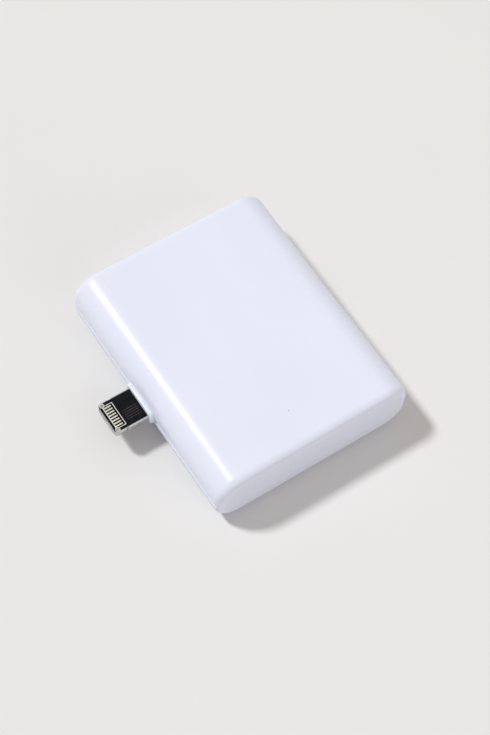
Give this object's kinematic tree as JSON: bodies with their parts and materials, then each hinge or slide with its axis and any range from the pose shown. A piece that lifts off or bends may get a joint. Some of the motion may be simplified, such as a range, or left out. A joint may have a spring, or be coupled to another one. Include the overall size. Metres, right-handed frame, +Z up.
{
  "type": "wireless audio receiver",
  "caption": "Small flat two-part plastic case with a slim reversible plug on one long side, an audio jack, a charging socket, a status light and a push button.",
  "frame": {"origin": "centre of the case's flat bottom face, which it rests on", "axes": "-X out along the plug, +Y along the case's long side towards the button's end, +Z up, away from the face it rests on"},
  "size_m": [0.0475, 0.049, 0.0122],
  "materials": {
    "case_plastic": "glossy white ABS",
    "collar_plastic": "satin white, slightly translucent",
    "clear_plastic": "clear acrylic",
    "plug_metal": "fine bead-blasted steel with a warm tint",
    "black_laminate": "black solder mask",
    "gold": "gold plate",
    "steel": "stamped steel",
    "tinned_steel": "tin plate",
    "board_green": "green solder mask",
    "chip_black": "moulded epoxy",
    "ceramic": "fired ceramic",
    "ferrite": "pressed ferrite",
    "capacitor_tan": "fired ceramic",
    "switch_black": "moulded nylon",
    "foil": "laminated foil pouch",
    "foam": "black foam tape",
    "red_sleeve": "silicone sleeve",
    "black_sleeve": "silicone sleeve",
    "solder": "solder"
  },
  "bodies": {
    "case": {"top_cover": "case_plastic", "bottom_cover": "case_plastic", "plug_collar": "collar_plastic", "light_pipe": "clear_plastic", "plug_frame": "plug_metal", "plug_tongue": "black_laminate", "plug_contacts_upper": "gold", "plug_contacts_lower": "gold", "plug_bracket": "steel", "main_board": "board_green", "board_screws": "steel", "radio_chip": "chip_black", "shield_can": "tinned_steel", "antenna": "ceramic", "crystal": "tinned_steel", "audio_chip": "chip_black", "memory_chip": "chip_black", "plug_chip": "chip_black", "charge_chip": "chip_black", "power_coil": "ferrite", "capacitors": "capacitor_tan", "resistors": "chip_black", "status_led": "ceramic", "switch_body": "switch_black", "switch_cover": "steel", "switch_dome": "steel", "battery_cell": "foil", "battery_pad": "foam", "battery_board": "board_green", "battery_lead_red": "red_sleeve", "battery_lead_black": "black_sleeve", "lead_solder": "solder", "charge_socket_shell": "tinned_steel", "charge_socket_tongue": "switch_black", "charge_socket_contacts": "gold", "audio_jack_body": "switch_black", "audio_jack_contacts": "tinned_steel"},
    "button": {"button_cap": "case_plastic", "switch_plunger": "switch_black"}
  },
  "joints": [
    {"name": "button_press", "type": "slide", "parent": "case", "child": "button", "axis": [0, -1, 0], "range_m": [0, 0.00025], "stiffness_N_per_m": 6000, "springref_m": -0.00015, "deforming": ["switch_dome"]}
  ]
}
